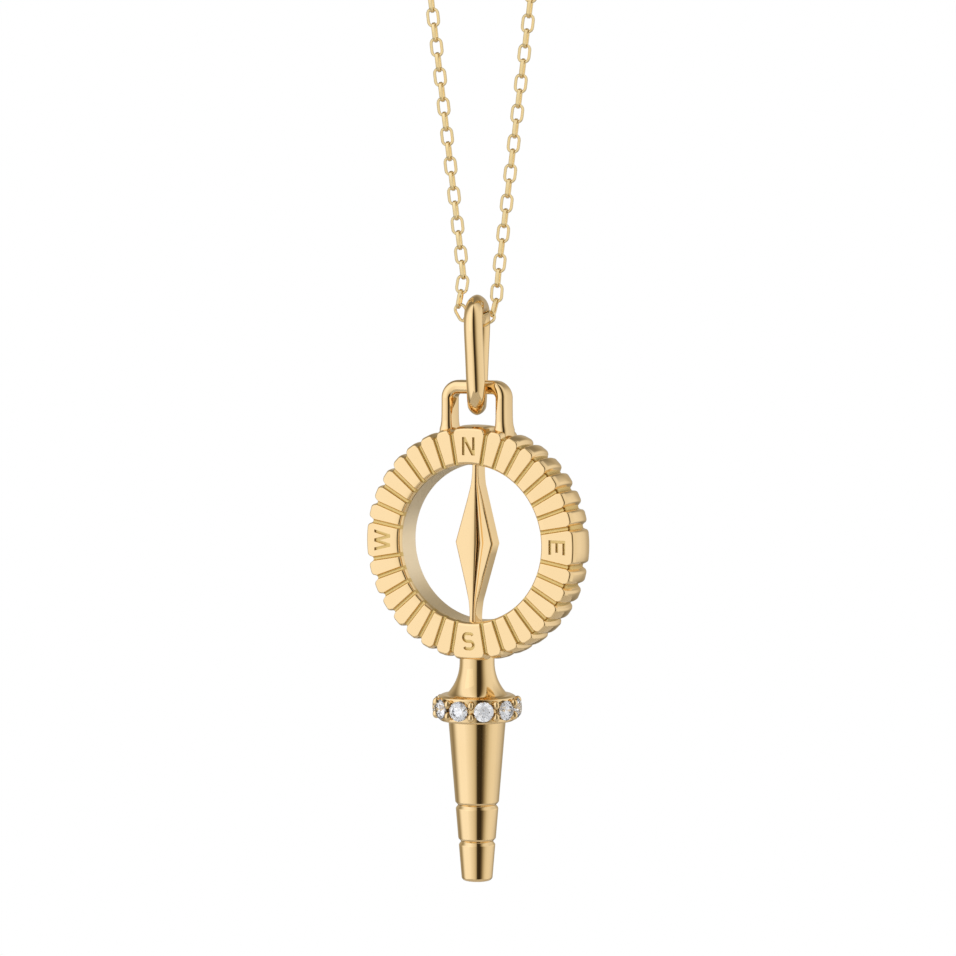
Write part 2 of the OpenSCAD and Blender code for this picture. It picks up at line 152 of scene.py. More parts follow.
# Needle
NEEDLE_W = 3.24
NEEDLE_END_W = 0.5
NEEDLE_T = 1.2
VALLEY_D = 0.42
VALLEY_END_D = 0.08
NEEDLE_EDGE_R = 0.2
NEEDLE_EDGE_SHARE = 0.3
NEEDLE_EDGE_STEPS = 5
# The right edge's rounding begins a little earlier, in degrees, to meet the valley's slope
NEEDLE_RIGHT_START = -100
NEEDLE_RIGHT_STEPS = 6
NEEDLE_TURN = math.radians(1.2)
# The rhombus stops at this share of the opening's radius. The thin end beyond it starts that many
# times wider than it ends, and is narrowest at that share of the needle's half height
NEEDLE_TAPER = 0.74
NEEDLE_TAPER_W = 1.5
NEEDLE_NARROWEST = 0.92
# The small fillet where the needle meets the ring
NEEDLE_FOOT_W = 0.12
NEEDLE_FOOT_H = 0.35
# Heights of the rhombus's sections, and the number of steps on each thin end
NEEDLE_LEVELS = (0.0, 0.8, 1.6, 2.4, 3.2, 4.0)
NEEDLE_END_STEPS = 10
# The valley across the front: place in half widths, and share of the valley's depth
VALLEY_SECTION = (
    (-0.2, 0.0), (-0.06, 0.01), (0.0, 0.04), (0.05, 0.11), (0.09, 0.23), (0.12, 0.42), (0.15, 0.66),
    (0.18, 0.86), (0.22, 0.97), (0.28, 0.98), (0.36, 0.9), (0.5, 0.7), (0.65, 0.48), (0.8, 0.26),
    (0.9, 0.12))

# Neck, collar, stones and spike
NECK_R = 1.35
NECK_FOOT_R = 2.36
NECK_H = 2.64
NECK_STRAIGHT_H = 0.15
NECK_STEPS = 14
COLLAR_R = 2.95
COLLAR_H = 2.0
COLLAR_LIP = 0.12
# The stem's edges: the collar's lips, its other outer edges, and the inner ones
LIP_R = 0.08
OUTER_EDGE_R = 0.06
INNER_EDGE_R = 0.05
STEM_SIDES = 144
STONE_N = 10
STONE_D = 1.55
STONE_FRONT_ANGLE = math.radians(270)
GIRDLE_R = 3.17
# The beads stand this far above and below the stones' middle, and are stretched up and down the
# collar, sideways and outwards
BEAD_R = 0.26
BEAD_Z = 0.46
BEAD_SCALE = (1.35, 1.0, 1.15)
BEAD_SIDES = 20
BEAD_RINGS = 14
SEAT_GAP = 0.03
# A seat: the stone's depth under its girdle in diameters, the height of the straight wall, and the
# height and narrower radius of the cutter's top
PAVILION_SHARE = 0.43
SEAT_WALL_H = 0.05
SEAT_TOP_H = 0.45
SEAT_TOP_SHARE = 0.6
SEAT_SIDES = 40
SPIKE_H = 12.5
SPIKE_TOP_R = 2.22
SPIKE_TIP_R = 1.18
# The grooves' heights above the tip
SPIKE_GROOVES = (5.9, 3.05)
SPIKE_GROOVE_W = 0.5
SPIKE_GROOVE_D = 0.2
# The rounding of the tip, from this angle in degrees round to straight down
TIP_EDGE_R = 0.3
TIP_EDGE_START = -6
TIP_EDGE_STEPS = 8
COLLAR_Z = -RING_R - NECK_H
STONE_Z = COLLAR_Z - COLLAR_H / 2
SPIKE_Z = COLLAR_Z - COLLAR_H
TIP_Z = SPIKE_Z - SPIKE_H

# Bail
BAIL_WIRE = 1.45
BAIL_TOP_R = 2.15
BAIL_LOW_R = 1.85
# How much fuller than an ellipse the loop is in its upper and its lower half
BAIL_SWELL = 0.42
BAIL_LOW_SWELL = 0.66
# The power that draws the outer side of the round wire in to a slight ridge
BAIL_RIDGE = 1.18
BAIL_TWIST = math.radians(4.5)
# The lower half narrows this many times less than the upper half widens
BAIL_LOW_EASE = 5
BAIL_STEPS = 128
BAIL_SIDES = 48

# Chain: its links, and the route of the frame's tube
CHAIN_LENGTH = 450.0
STRAND_ANGLE = math.radians(6.8)
CHAIN_W = 0.9
CHAIN_GAP = 0.04
LINK_W = 1.0
LINK_WIRE_W = 0.2
LINK_WIRE_T = 0.26
LINK_PITCH = 1.143
LINK_TURN = math.radians(8)
# The bend at a link's ends in widths of its middle line, and the rounding of its wire in wire
# widths, each with its steps
LINK_BEND = 0.495
LINK_BEND_STEPS = 5
WIRE_BEND = 0.25
WIRE_BEND_STEPS = 1
# The heights where the links of the strands give way to those of the turn
RIGHT_JOINT_Z = -206.5
LEFT_JOINT_Z = -206.85
# How far each strand lies to the right of the tube. This sets in SHIFT_START below the middle of the
# turn, is full after SHIFT_RISE, and fades over the upper SHIFT_FADE of the strand
LEFT_SHIFT = 0.67
RIGHT_SHIFT = -0.1
SHIFT_START = 0.2
SHIFT_RISE = 2.2
SHIFT_FADE = 0.5
# How much wider the turn is than the tube's
LINK_ROOM = 0.24
TOP_STEPS = 200
STRAND_STEPS = 400
TURN_STEPS = 60
CLASP_D = 2.4
EYE_X = 3.8

# The drop's place in the row's frame
DROP_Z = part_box("pendant_body")[1].z / MM - LOOP_TOP
DROP_PLACE = Matrix.Translation((0, 0, DROP_Z)) @ Matrix.Rotation(DROP_TURN, 4, "Z")

# The photograph's view: how far over the ring's centre the camera aims, from which side, from how far
# and how long its lens is
AIM_MM = (0.07, 0.0, DROP_Z + 4.977)
CAMERA_AZIMUTH = math.radians(5.57)
CAMERA_ELEVATION = math.radians(3.84)
CAMERA_DISTANCE_MM = 270
LENS_MM = 132.2
SENSOR_MM = 36
CLIP_START_M = 0.01
CLIP_END_M = 20

# The light tent: how bright it is at each angle round, in degrees to the right of the camera
TENT_STOPS = (
    (-180, 0.5), (-140, 0.44), (-123, 0.36), (-112, 0.6), (-100, 0.95), (-90, 1.02), (-55, 1.02),
    (-40, 0.91), (-25, 0.79), (-14, 0.66), (-6, 0.47), (1, 0.04), (21, 0.035), (31, 0.14), (43, 0.45),
    (57, 0.74), (72, 0.84), (113, 0.88), (129, 0.77), (143, 0.52), (160, 0.46))
# What its back keeps of that at each angle above the horizon, and where the back sets in and is full
BACK_STOPS = (
    (-90, 0.35), (-35, 0.35), (-25, 0.5), (-16, 0.75), (-7, 1.0), (20, 1.0), (37, 0.55), (90, 0.5))
BACK_FROM = 90
BACK_FULL = 130
# The cool light that the stones take up, and its share
STONE_LIGHT = "#F4F8FF"
STONE_LIGHT_POWER = 1.5
STONE_LIGHT_SHARE = 0.5
FLOOR_HALF_MM = 1600
FLOOR_Z_MM = -1250


# Materials

def linear(hex_colour):
    """An sRGB hex colour as linear red, green, blue and alpha."""
    parts = [int(hex_colour[i:i + 2], 16) / 255 for i in (1, 3, 5)]
    return [c / 12.92 if c <= 0.04045 else ((c + 0.055) / 1.055) ** 2.4 for c in parts] + [1.0]


def add(tree, kind, links=None, values=None, **settings):
    """Adds a node, with its settings, its sockets' values and what feeds them."""
    node = tree.nodes.new(kind)
    for name, value in settings.items():
        setattr(node, name, value)
    for key, value in (values or {}).items():
        node.inputs[key].default_value = value
    for key, source in (links or {}).items():
        tree.links.new(source, node.inputs[key])
    return node


def new_material(name):
    """An empty material with its shader and output, and the shader node."""
    made = bpy.data.materials.new(name)
    made.use_nodes = True
    made.node_tree.nodes.clear()
    shader = add(made.node_tree, "ShaderNodeBsdfPrincipled")
    add(made.node_tree, "ShaderNodeOutputMaterial", {"Surface": shader.outputs["BSDF"]})
    return made, shader


def scaled_noise(tree, size_mm, detail=2.0):
    """Noise whose features are about size_mm across, on object coordinates."""
    place = add(tree, "ShaderNodeTexCoord")
    return add(tree, "ShaderNodeTexNoise", {"Vector": place.outputs["Object"]},
               {"Scale": 1 / (size_mm * MM), "Detail": detail})


def gold_material(name, colour, deep_colour, roughness, spread, ripple_mm, ripple_depth_mm):
    """Yellow gold: one metal, whose finish is its roughness, how much that varies, and its ripple."""
    made, shader = new_material(name)
    tree = made.node_tree
    shader.inputs["Metallic"].default_value = 1.0
    wide = scaled_noise(tree, size_mm=3.0)
    tint = add(tree, "ShaderNodeMix", {0: wide.outputs["Fac"]}, data_type="RGBA")
    tint.inputs[6].default_value = linear(colour)
    tint.inputs[7].default_value = linear(deep_colour)
    tree.links.new(tint.outputs[2], shader.inputs["Base Color"])
    fine = scaled_noise(tree, size_mm=0.4, detail=4.0)
    rough = add(tree, "ShaderNodeMapRange", {"Value": fine.outputs["Fac"]},
                {"To Min": roughness, "To Max": roughness + spread})
    tree.links.new(rough.outputs["Result"], shader.inputs["Roughness"])
    ripple = scaled_noise(tree, ripple_mm)
    bump = add(tree, "ShaderNodeBump", {"Height": ripple.outputs["Fac"]},
               {"Strength": 1.0, "Distance": ripple_depth_mm * MM})
    tree.links.new(bump.outputs["Normal"], shader.inputs["Normal"])
    return made


# Mirror-polished 18 carat gold: pale, warm, with a hand-polished surface that is never quite flat
POLISHED = gold_material("polished_18k_gold", "#FCDFAA", "#FADAA2", roughness=0.03, spread=0.05,
                         ripple_mm=1.6, ripple_depth_mm=0.0012)
# The ring's inner wall, left satin from turning
SATIN = gold_material("satin_18k_gold", "#FFF0D2", "#F8E2B8", roughness=0.3, spread=0.1,
                      ripple_mm=0.12, ripple_depth_mm=0.002)
# The floor of the grooves and the letters, cut with a graver: rougher and finer-rippled, and painted a
# darker gold all over as shade in these recesses
ENGRAVED_PAINTED_SHADE = gold_material("engraved_18k_gold_painted_shade", "#EFD290", "#E0C176", roughness=0.34, spread=0.1,
                         ripple_mm=0.08, ripple_depth_mm=0.003)
# The chain's gold, in small diamond-cut faces
CHAIN_GOLD = gold_material("diamond_cut_18k_gold", "#FFEDBC", "#FDE0A2", roughness=0.1, spread=0.08,
                           ripple_mm=0.5, ripple_depth_mm=0.001)


def diamond_material():
    """Diamond: clear and colourless, with a high refraction that gives its facets their sparkle."""
    made, shader = new_material("diamond")
    shader.inputs["Base Color"].default_value = linear("#FFFFFF")
    shader.inputs["Roughness"].default_value = 0.0
    shader.inputs["IOR"].default_value = 2.417
    shader.inputs["Transmission Weight"].default_value = 1.0
    return made


DIAMOND = diamond_material()


# Meshes

def to_object(name, points, faces, materials, slots=None, place=None):
    """A mesh object from points in millimetres, with each face's material slot."""
    mesh = bpy.data.meshes.new(name)
    mesh.from_pydata([tuple(p) for p in points], [], faces)
    for material in materials:
        mesh.materials.append(material)
    if slots is not None:
        mesh.polygons.foreach_set("material_index", slots)
    if place is not None:
        mesh.transform(place)
    mesh.transform(Matrix.Scale(MM, 4))
    mesh.update()
    made = bpy.data.objects.new(name, mesh)
    bpy.context.scene.collection.objects.link(made)
    return made


def tidy_normals(made):
    """Merges doubled points and turns every face outwards."""
    shape = bmesh.new()
    shape.from_mesh(made.data)
    bmesh.ops.remove_doubles(shape, verts=shape.verts, dist=MERGE_DIST * MM)
    bmesh.ops.recalc_face_normals(shape, faces=shape.faces)
    shape.to_mesh(made.data)
    shape.free()


def smooth(made, degrees):
    """Shades smooth, with edges sharper than the angle left sharp."""
    made.data.polygons.foreach_set("use_smooth", [True] * len(made.data.polygons))
    made.data.set_sharp_from_angle(angle=math.radians(degrees))


def baked(made):
    """Applies an object's modifiers to its mesh."""
    depsgraph = bpy.context.evaluated_depsgraph_get()
    depsgraph.update()
    mesh = bpy.data.meshes.new_from_object(made.evaluated_get(depsgraph))
    made.modifiers.clear()
    made.data = mesh
    return made


def cut(made, cutter):
    """Takes a cutter out of an object, with the cutter's material on the cut faces."""
    step = made.modifiers.new("cut", "BOOLEAN")
    step.object = cutter
    step.operation = "DIFFERENCE"
    step.solver = "EXACT"
    step.material_mode = "TRANSFER"
    baked(made)
    bpy.data.objects.remove(cutter)


def grid_faces(rows, columns, wrap_rows=False, wrap_columns=False):
    """Quads over a grid of points stored row by row."""
    return [
        (i * columns + j, i * columns + (j + 1) % columns,
         (i + 1) % rows * columns + (j + 1) % columns, (i + 1) % rows * columns + j)
        for i in range(rows if wrap_rows else rows - 1)
        for j in range(columns if wrap_columns else columns - 1)
    ]


def capped_faces(rows, columns):
    """The faces of a closed bar: quads round its sections, and one face at each end."""
    last = (rows - 1) * columns
    return grid_faces(rows, columns, wrap_columns=True) + [
        tuple(range(columns - 1, -1, -1)), tuple(range(last, last + columns))]


def arc(centre, radius, start, end, steps):
    """Points on an arc in a plane, both ends included, angles in degrees."""
    return [
        (centre[0] + radius * math.cos(math.radians(start + (end - start) * i / steps)),
         centre[1] + radius * math.sin(math.radians(start + (end - start) * i / steps)))
        for i in range(steps + 1)
    ]


def rounded(profile):
    """A profile of (radius, height, corner radius) with each corner turned into a short arc."""
    made = [profile[0][:2]]
    for before, here, after in zip(profile, profile[1:], profile[2:]):
        r = here[2]
        if not r:
            made.append(here[:2])
            continue
        p, q, s = (Vector(v[:2]) for v in (before, here, after))
        to_p, to_s = p - q, s - q
        reach = min(r, to_p.length * PROFILE_REACH, to_s.length * PROFILE_REACH)
        start, end = q + to_p.normalized() * reach, q + to_s.normalized() * reach
        for i in range(PROFILE_STEPS + 1):
            t = i / PROFILE_STEPS
            made.append(tuple(start * (1 - t) ** 2 + q * 2 * t * (1 - t) + end * t * t))
    made.append(profile[-1][:2])
    return made


# The compass ring

def ring_stations():
    """The ring's section, from the front of its inner wall round the outside and back.

    Each station has its radius and depth on a tile, the same on a groove's floor, and how far the
    rounding of the tile's outer corners counts there.
    """
    half_t = RING_T / 2
    barrel_r = (half_t ** 2 + BARREL ** 2) / (2 * BARREL)
    face_r = RING_R - BARREL
    face_floor = half_t - FACE_GROOVE_D
    wall_floor = half_t - GROOVE_D

    def outer(depth, inset):
        return RING_R - barrel_r + math.sqrt((barrel_r - inset) ** 2 - depth ** 2)

    floor_r = outer(wall_floor, GROOVE_D)
    corner_start = face_r - CORNER_REACH * TILE_CORNER_R
    face_end = face_r - ARRIS_R

    def face(side, edge_w, edge_d):
        rim = rounded([
            (HOLE_R, half_t - EDGE_START * edge_d, 0),
            (HOLE_R, half_t - edge_d, EDGE_LOW_R),
            (HOLE_R + edge_w, half_t, EDGE_TOP_R),
            (HOLE_R + edge_w + EDGE_FLAT, half_t, 0)])
        made = [(r, d, r, min(d, face_floor), 0) for r, d in rim]
        for r in ((rim[-1][0] + corner_start) / 2, corner_start):
            made.append((r, half_t, r, face_floor, 0))
        for t in CORNER_SHARES:
            r = corner_start + (face_end - corner_start) * t
            made.append((r, half_t, min(r, floor_r), face_floor + (wall_floor - face_floor) * t, t))
        for r, d in arc((face_end, half_t - ARRIS_R), ARRIS_R, ARRIS_ARC, 0, ARRIS_STEPS):
            made.append((r, d, floor_r, wall_floor, 1))
        return [(r, side * d, fr, side * fd, w) for r, d, fr, fd, w in made]

    front = face(-1, EDGE_W, EDGE_D)
    back = face(1, BACK_EDGE, BACK_EDGE)
    wall = []
    for t in OUTSIDE_SHARES:
        depth = t * (half_t - ARRIS_R)
        floor_depth = t * wall_floor
        wall.append((outer(depth, 0), depth, outer(floor_depth, GROOVE_D), floor_depth, 1))
    inner = [(HOLE_R, depth, HOLE_R, depth, 0) for depth in INNER_WALL_DEPTHS]
    return front + wall + back[::-1] + inner


def ring_columns():
    """Lines across the ring as (kind, angle, side, extra, drop, depth), tile by tile.

    The angle is that of the groove that a line is counted from. For a line in a groove, side is its
    place across in half widths. For one on a tile's edge, side is the side of the groove and extra
    the inset from its wall. For one on a tile's middle, side is its share of the way to the next
    groove and extra that whole way. drop lowers it at the tile's outer corner, and depth is its share
    of the groove's depth.
    """
    count = round(TAU / GROOVE_STEP)
    quarter = count // 4
    grooves = [i for i in range(count) if i % quarter]
    columns = []
    for number, here in enumerate(grooves):
        after = grooves[(number + 1) % len(grooves)]
        steps = (after - here) % count
        angle = here * GROOVE_STEP
        for across, depth in GROOVE_SECTION:
            columns.append(("groove", angle, across, 0, TILE_CORNER_R, depth))
        edge = [(inset * TILE_EDGE_R, drop * TILE_CORNER_R, depth)
                for inset, drop, depth in GROOVE_WALL_TOP]
        for turn in CORNER_TURNS:
            inset = TILE_EDGE_R + TILE_CORNER_R * (1 - math.sin(math.radians(turn)))
            drop = TILE_CORNER_R * (1 - math.cos(math.radians(turn)))
            edge.append((inset, drop, 0.0))
        for inset, drop, depth in edge:
            columns.append(("tile", angle, 1, inset, drop, depth))
        for share in TILE_SHARES if steps == 1 else WIDE_TILE_SHARES:
            columns.append(("middle", angle, share, steps * GROOVE_STEP, 0, 0.0))
        for inset, drop, depth in reversed(edge):
            columns.append(("tile", after * GROOVE_STEP, -1, inset, drop, depth))
    return columns


def compass_ring():
    """The ring of raised tiles, as one closed band of quads."""
    stations = ring_stations()
    columns = ring_columns()
    points = []
    for kind, angle, side, extra, drop, depth in columns:
        for r0, y0, r1, y1, weight in stations:
            r = r0 - drop * weight
            r += (min(r1, r) - r if weight else r1 - r) * depth
            y = y0 + (y1 - y0) * depth
            wall = math.asin(GROOVE_W / 2 / r)
            if kind == "groove":
                at = angle + side * wall
            elif kind == "tile":
                at = angle + side * (wall + extra / r)
            else:
                inner = wall + (TILE_EDGE_R + TILE_CORNER_R) / r
                at = angle + inner + side * (extra - 2 * inner)
            points.append((r * math.cos(at), y, r * math.sin(at)))
    rows = len(columns)
    across = len(stations)
    faces = grid_faces(rows, across, wrap_rows=True, wrap_columns=True)
    polished, satin, engraved_painted_shade = range(3)
    slots = []
    for i in range(rows):
        in_groove = columns[i][0] == "groove" or columns[(i + 1) % rows][0] == "groove"
        for j in range(across):
            if j >= across - INNER_WALL_BANDS:
                slots.append(satin)
            else:
                # The grooves take the engraved gold, whose darker colour is painted shade
                slots.append(engraved_painted_shade if in_groove else polished)
    return to_object("compass_ring", points, faces, [POLISHED, SATIN, ENGRAVED_PAINTED_SHADE], slots, DROP_PLACE)


# The letters, as closed outlines in a plane, about their own centres

def letter_n():
    """N: one half of its outline, then the same half turned round."""
    x, y, s = LETTER_W / 2, LETTER_H / 2, STROKE
    d = N_DIAGONAL * s
    notch = y - 2 * y * s / (2 * x - d)
    half = [(-x, -y), (-x + s, -y), (-x + s, notch), (x - d, -y), (x, -y)]
    return half + [(-px, -py) for px, py in half]


def letter_e():
    """E: a stem and three bars, the middle one shorter."""
    x, y, s = LETTER_W / 2, LETTER_H / 2, STROKE
    short = x - E_STEP
    return [(-x, -y), (x, -y), (x, -y + s), (-x + s, -y + s), (-x + s, -s / 2), (short, -s / 2),
            (short, s / 2), (-x + s, s / 2), (-x + s, y - s), (x, y - s), (x, y), (-x, y)]


def letter_w():
    """W: one half of its outline, then the same half mirrored."""
    x, y, s = (WIDE_LETTER_W - STROKE) / 2, LETTER_H / 2, STROKE / 2
    tall = 2 * y * (1 - 2 * s / x)
    half = [(0, -y + tall), (x / 2 - s, -y), (x / 2 + s, -y), (x + s, y), (x - s, y),
            (x / 2, y - tall), (s, y)]
    return half + [(-px, py) for px, py in reversed(half[1:])]


def letter_s():
    """S: a line round its two bows, widened to a stroke."""
    bow = (LETTER_H - STROKE) / 4
    x = LETTER_W / 2 - bow - STROKE / 2
    end_x, end_y = x + S_END_X * bow, S_END_Y * bow
    line = [(end_x, end_y)] + arc((x, bow), bow, S_END_TURN, 90, S_END_STEPS)
    line += arc((-x, bow), bow, 90, 270, S_BOW_STEPS)
    line += arc((x, -bow), bow, 90, -90, S_BOW_STEPS)
    line += arc((-x, -bow), bow, -90, S_END_TURN - 180, S_END_STEPS) + [(-end_x, -end_y)]
    left, right = [], []
    for i, (px, py) in enumerate(line):
        ax, ay = line[max(i - 1, 0)]
        bx, by = line[min(i + 1, len(line) - 1)]
        length = math.hypot(bx - ax, by - ay)
        nx, ny = -(by - ay) / length * STROKE / 2, (bx - ax) / length * STROKE / 2
        left.append((px + nx, py + ny))
        right.append((px - nx, py - ny))
    return right + left[::-1]


def letter_cutter(outline, angle):
    """One letter as a prism through the ring's front face, its top pointing outwards."""
    front = -RING_T / 2
    turn = angle - math.pi / 2
    points = []
    for depth in (front - OVERCUT, front + ENGRAVE_D):
        for x, y in outline:
            up = y + LETTER_R
            points.append((x * math.cos(turn) - up * math.sin(turn), depth,
                           x * math.sin(turn) + up * math.cos(turn)))
    n = len(outline)
    faces = [tuple(range(n)), tuple(range(2 * n - 1, n - 1, -1))]
    faces += [(i, (i + 1) % n, n + (i + 1) % n, n + i) for i in range(n)]
    # The letters' cut faces take the engraved gold, painted darker as shade
    made = to_object("letter", points, faces, [ENGRAVED_PAINTED_SHADE], place=DROP_PLACE)
    tidy_normals(made)
    return made


# The U loop

def u_loop():
    """A loop lofted through rounded sections, from one foot over the top to the other."""
    half_w = LOOP_W / 2
    inner_x = half_w - LEG_W
    bar_low = RING_R + LOOP_CLEAR
    outer_turn = (half_w - LOOP_CORNER_R, LOOP_TOP - LOOP_CORNER_R)
    inner_turn = (inner_x - WINDOW_R, bar_low - WINDOW_R)
    foot_z = math.sqrt(RING_R ** 2 - half_w ** 2) - ROOT
    pairs = []
    for t, spread in LOOP_FOOT:
        outer_z = foot_z + (outer_turn[1] - foot_z) * t
        inner_z = foot_z + (inner_turn[1] - foot_z) * t
        deep = LEG_DEPTH / 2 + spread * FOOT_DEEP
        pairs.append(((half_w + spread, outer_z), (inner_x - spread * FOOT_INWARDS, inner_z), deep))
    steps = LOOP_TURN_STEPS
    outer_arc = arc(outer_turn, LOOP_CORNER_R, 0, 90, steps)
    inner_arc = arc(inner_turn, WINDOW_R, 0, 90, steps)
    deeps = [(LEG_DEPTH + (BAR_DEPTH - LEG_DEPTH) * i / steps) / 2 for i in range(steps + 1)]
    pairs += list(zip(outer_arc, inner_arc, deeps))
    bar = BAR_DEPTH / 2
    for t in BAR_SHARES:
        pairs.append(((outer_turn[0] * t, LOOP_TOP), (inner_turn[0] * t, bar_low), bar))
    middle = [((0.0, LOOP_TOP), (0.0, bar_low), bar)]
    other = [((-o[0], o[1]), (-i[0], i[1]), d) for o, i, d in reversed(pairs)]
    points = []
    for outer, inner, deep in pairs + middle + other:
        centre = ((outer[0] + inner[0]) / 2, (outer[1] + inner[1]) / 2)
        reach = math.hypot(outer[0] - inner[0], outer[1] - inner[1]) / 2
        way = ((outer[0] - inner[0]) / 2 / reach, (outer[1] - inner[1]) / 2 / reach)
        r = min(LOOP_EDGE_R, reach * LOOP_EDGE_SHARE)
        corners = ((reach - r, deep - r, 0), (r - reach, deep - r, 90),
                   (r - reach, r - deep, 180), (reach - r, r - deep, 270))
        for cx, cy, start in corners:
            for sx, sy in arc((cx, cy), r, start, start + 90, LOOP_EDGE_STEPS):
                points.append((centre[0] + way[0] * sx, sy, centre[1] + way[1] * sx))
    across = 4 * (LOOP_EDGE_STEPS + 1)
    faces = capped_faces(len(points) // across, across)
    made = to_object("u_loop", points, faces, [POLISHED], place=DROP_PLACE)
    tidy_normals(made)
    smooth(made, 50)
    return made


# The needle

def needle():
    """A rhombus with a valley down its front, from the top of the opening to the bottom."""
    half_w = NEEDLE_W / 2
    end_w = NEEDLE_END_W / 2
    end_z = HOLE_R + ROOT
    taper_z = NEEDLE_TAPER * HOLE_R
    taper_w = NEEDLE_TAPER_W * end_w

    def width(z):
        if z <= taper_z:
            return half_w + (taper_w - half_w) * z / taper_z
        share = min(1.0, (z - taper_z) / (NEEDLE_NARROWEST * end_z - taper_z))
        curve = taper_w + (end_w - taper_w) * (1 - (1 - share) ** 2)
        foot = max(0.0, (z - HOLE_R + NEEDLE_FOOT_H) / (NEEDLE_FOOT_H + ROOT))
        return curve + NEEDLE_FOOT_W * foot ** 2

    steps = NEEDLE_END_STEPS
    heights = list(NEEDLE_LEVELS) + [taper_z + (end_z - taper_z) * i / steps for i in range(steps + 1)]
    levels = [-z for z in reversed(heights[1:])] + heights
    front, back = -NEEDLE_T / 2, NEEDLE_T / 2
    points = []
    for z in levels:
        w = width(abs(z))
        v = VALLEY_END_D + (VALLEY_D - VALLEY_END_D) * max(0.0, (w - end_w) / (half_w - end_w))
        r = min(NEEDLE_EDGE_R, NEEDLE_EDGE_SHARE * w)
        section = arc((r - w, r), r, 180, 270, NEEDLE_EDGE_STEPS)
        section += [(x * w, d * v) for x, d in VALLEY_SECTION]
        section += arc((w - r, r), r, NEEDLE_RIGHT_START, 0, NEEDLE_RIGHT_STEPS)
        points += [(x, front + depth, z) for x, depth in section] + [(w, back, z), (-w, back, z)]
    faces = capped_faces(len(levels), len(points) // len(levels))
    place = DROP_PLACE @ Matrix.Rotation(NEEDLE_TURN, 4, "Y")
    made = to_object("needle", points, faces, [POLISHED], place=place)
    tidy_normals(made)
    smooth(made, 45)
    return made


# The stem: neck, collar and spike on one axis

def stem_profile():
    """From inside the ring's bottom tile down to the flat tip."""
    flare_h = NECK_H - NECK_STRAIGHT_H
    grow = NECK_FOOT_R - NECK_R
    flare_r = (flare_h ** 2 + grow ** 2) / (2 * grow)
    top = -RING_R - NECK_STRAIGHT_H
    profile = [(0, -RING_R + ROOT, 0), (NECK_R, -RING_R + ROOT, 0)]
    for i in range(NECK_STEPS + 1):
        z = top - flare_h * i / NECK_STEPS
        r = NECK_R + flare_r - math.sqrt(flare_r ** 2 - (top - z) ** 2)
        profile.append((r, z, 0))
    profile[-1] = (NECK_FOOT_R, COLLAR_Z, OUTER_EDGE_R)
    profile += [
        (COLLAR_R - 2 * COLLAR_LIP, COLLAR_Z, OUTER_EDGE_R),
        (COLLAR_R, COLLAR_Z - COLLAR_LIP, LIP_R),
        (COLLAR_R, SPIKE_Z + COLLAR_LIP, LIP_R),
        (COLLAR_R - COLLAR_LIP, SPIKE_Z, OUTER_EDGE_R),
        (SPIKE_TOP_R, SPIKE_Z, INNER_EDGE_R)]

    def spike_r(z):
        return SPIKE_TIP_R + (SPIKE_TOP_R - SPIKE_TIP_R) * (z - TIP_Z) / SPIKE_H

    half = SPIKE_GROOVE_W / 2
    for height in SPIKE_GROOVES:
        z = TIP_Z + height
        profile += [
            (spike_r(z + half), z + half, OUTER_EDGE_R),
            (spike_r(z) - SPIKE_GROOVE_D, z, INNER_EDGE_R),
            (spike_r(z - half), z - half, OUTER_EDGE_R)]
    edge_z = TIP_Z + TIP_EDGE_R
    edge_x = spike_r(edge_z) - TIP_EDGE_R
    made = rounded(profile + [(spike_r(edge_z), edge_z, 0)])
    made += arc((edge_x, edge_z), TIP_EDGE_R, TIP_EDGE_START, -90, TIP_EDGE_STEPS)
    return made + [(0, TIP_Z)]


def revolve(name, profile, sides, materials, place):
    """A closed solid turned about the Z axis, its first and last points on the axis."""
    rings = profile[1:-1]
    points = [(r * math.cos(TAU * j / sides), r * math.sin(TAU * j / sides), z)
              for r, z in rings for j in range(sides)]
    faces = grid_faces(len(rings), sides, wrap_columns=True)
    top, low = len(points), len(points) + 1
    points += [(0, 0, profile[0][1]), (0, 0, profile[-1][1])]
    last = (len(rings) - 1) * sides
    faces += [(top, (j + 1) % sides, j) for j in range(sides)]
    faces += [(low, last + j, last + (j + 1) % sides) for j in range(sides)]
    made = to_object(name, points, faces, materials, place=place)
    tidy_normals(made)
    return made


def collar_place(index, radius, z):
    """Faces +Z outwards at one place round the collar."""
    angle = STONE_FRONT_ANGLE + index * TAU / STONE_N
    return (DROP_PLACE @ Matrix.Rotation(angle, 4, "Z") @ Matrix.Translation((radius, 0, z))
            @ Matrix.Rotation(math.pi / 2, 4, "Y"))


def stem():
    """The turned stem, with a bright-cut seat for each stone."""
    made = revolve("stem", stem_profile(), STEM_SIDES, [POLISHED], DROP_PLACE)
    r = STONE_D / 2 + SEAT_GAP
    seat = [(0, -PAVILION_SHARE * STONE_D - 2 * SEAT_GAP), (r, -SEAT_GAP), (r, SEAT_WALL_H),
            (r * SEAT_TOP_SHARE, SEAT_TOP_H), (0, SEAT_TOP_H)]
    for i in range(STONE_N):
        cut(made, revolve("seat", seat, SEAT_SIDES, [POLISHED], collar_place(i, GIRDLE_R, STONE_Z)))
    smooth(made, 35)
    return made


# What repeats is made with geometry nodes

def node_group(name, inputs):
    """An empty geometry tree with named inputs, and its input node."""
    tree = bpy.data.node_groups.new(name, "GeometryNodeTree")
    tree.interface.new_socket("Geometry", in_out="INPUT", socket_type="NodeSocketGeometry")
    for label, kind in inputs.items():
        tree.interface.new_socket(label, in_out="INPUT", socket_type=kind)
    tree.interface.new_socket("Geometry", in_out="OUTPUT", socket_type="NodeSocketGeometry")
    return tree, add(tree, "NodeGroupInput")


